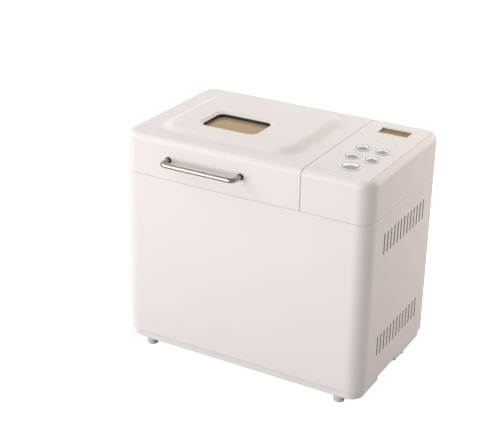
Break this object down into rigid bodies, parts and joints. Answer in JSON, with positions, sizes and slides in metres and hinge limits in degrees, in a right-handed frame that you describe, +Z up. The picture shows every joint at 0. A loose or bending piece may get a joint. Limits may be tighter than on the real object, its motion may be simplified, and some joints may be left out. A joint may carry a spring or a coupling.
{
  "type": "bread machine",
  "caption": "Compact white bread machine with a hinged windowed lid, side control panel, oven chamber and lift-handled pan with a belt-driven kneading paddle.",
  "frame": {"origin": "middle of the footprint on the table, between the handle's front and the back wall", "axes": "+X to the right seen from the front, +Y to the back, +Z up"},
  "size_m": [0.345, 0.236, 0.309],
  "materials": {
    "white_casing": "satin",
    "silver_button": "satin metallic",
    "bright_trim": "polished",
    "polished_steel": "polished",
    "dark_plastic": "matte",
    "grey_plastic": "satin",
    "black_rubber": "matte",
    "clear_glass": "clear",
    "amber_lens": "tinted",
    "lamp_lens": "clear",
    "galvanised_sheet": "satin",
    "nonstick_coat": "dark non-stick",
    "turned_steel": "turned",
    "cast_zinc": "as cast",
    "bronze": "satin",
    "ceramic": "matte",
    "board_laminate": "satin",
    "electric_parts": "matte"
  },
  "bodies": {
    "casing": {"body_shell": "white_casing", "base_tray": "white_casing", "front_feet": "grey_plastic", "rear_feet": "black_rubber", "case_screws": "turned_steel", "top_deck": "white_casing", "cord_gland": "black_rubber", "hinge_brackets": "white_casing", "hinge_pins": "polished_steel", "control_housing": "white_casing", "display_bezel": "bright_trim", "display_lens": "amber_lens", "lcd_module": "dark_plastic", "indicator_lenses": "lamp_lens", "control_board": "board_laminate", "tact_switches": "dark_plastic", "button_rings": "bright_trim", "oven_chamber": "galvanised_sheet", "heating_element": "turned_steel", "element_bushes": "ceramic", "temperature_sensor": "turned_steel", "pan_socket": "galvanised_sheet", "bearing_housing": "cast_zinc", "drive_bushes": "bronze", "chassis_plate": "galvanised_sheet", "support_posts": "galvanised_sheet", "heat_shield": "galvanised_sheet", "motor_frame": "cast_zinc", "drive_belt": "black_rubber", "power_board": "board_laminate", "power_components": "electric_parts"},
    "lid": {"lid_shell": "white_casing", "lid_liner": "galvanised_sheet", "lid_seal": "black_rubber", "liner_screws": "turned_steel", "window_gasket": "dark_plastic", "window_glass": "clear_glass", "window_retainer": "dark_plastic", "inner_glass": "clear_glass", "handle_bar": "polished_steel", "handle_sockets": "dark_plastic"},
    "pan": {"bread_pan": "nonstick_coat", "pan_base_ring": "nonstick_coat", "pan_bush": "bronze", "bail_pivots": "polished_steel"},
    "bail": {"pan_bail": "polished_steel"},
    "paddle": {"pan_shaft": "turned_steel", "pan_coupling": "cast_zinc", "kneading_paddle": "nonstick_coat"},
    "drive": {"drive_shaft": "turned_steel", "drive_coupling": "cast_zinc", "large_pulley": "grey_plastic"},
    "motor": {"motor_rotor": "turned_steel", "motor_pulley": "turned_steel", "motor_fan": "grey_plastic"},
    "start_key": {"start_button": "silver_button"},
    "menu_key": {"menu_button": "silver_button"},
    "crust_key": {"crust_button": "silver_button"},
    "size_key": {"size_button": "silver_button"},
    "timer_key": {"timer_button": "silver_button"}
  },
  "joints": [
    {"name": "lid_hinge", "type": "hinge", "parent": "casing", "child": "lid", "pos_m": [0, 0.114, 0.254], "axis": [-1, 0, 0], "range_deg": [0, 85]},
    {"name": "motor_spin", "type": "hinge", "parent": "casing", "child": "motor", "pos_m": [0.1255, 0.01, 0.044], "axis": [0, 0, 1], "continuous": true},
    {"name": "drive_spin", "type": "hinge", "parent": "casing", "child": "drive", "pos_m": [-0.0505, 0.01, 0.044], "axis": [0, 0, 1], "continuous": true},
    {"name": "paddle_spin", "type": "hinge", "parent": "casing", "child": "paddle", "pos_m": [-0.0505, 0.01, 0.084], "axis": [0, 0, 1], "continuous": true},
    {"name": "pan_twist", "type": "hinge", "parent": "casing", "child": "pan", "pos_m": [-0.0505, 0.01, 0.084], "axis": [0, 0, 1], "range_deg": [0, 10]},
    {"name": "bail_swing", "type": "hinge", "parent": "pan", "child": "bail", "pos_m": [-0.0505, 0.01, 0.212], "axis": [-1, 0, 0], "range_deg": [0, 180]},
    {"name": "start_press", "type": "slide", "parent": "casing", "child": "start_key", "axis": [0, 0, -1], "range_m": [0, 0.001], "stiffness_N_per_m": 1500},
    {"name": "menu_press", "type": "slide", "parent": "casing", "child": "menu_key", "axis": [0, 0, -1], "range_m": [0, 0.001], "stiffness_N_per_m": 1500},
    {"name": "crust_press", "type": "slide", "parent": "casing", "child": "crust_key", "axis": [0, 0, -1], "range_m": [0, 0.001], "stiffness_N_per_m": 1500},
    {"name": "size_press", "type": "slide", "parent": "casing", "child": "size_key", "axis": [0, 0, -1], "range_m": [0, 0.001], "stiffness_N_per_m": 1500},
    {"name": "timer_press", "type": "slide", "parent": "casing", "child": "timer_key", "axis": [0, 0, -1], "range_m": [0, 0.001], "stiffness_N_per_m": 1500}
  ],
  "couplings": [
    {"joint": "drive_spin", "follows": "motor_spin", "ratio": 0.17373},
    {"joint": "paddle_spin", "follows": "motor_spin", "ratio": 0.17373}
  ]
}
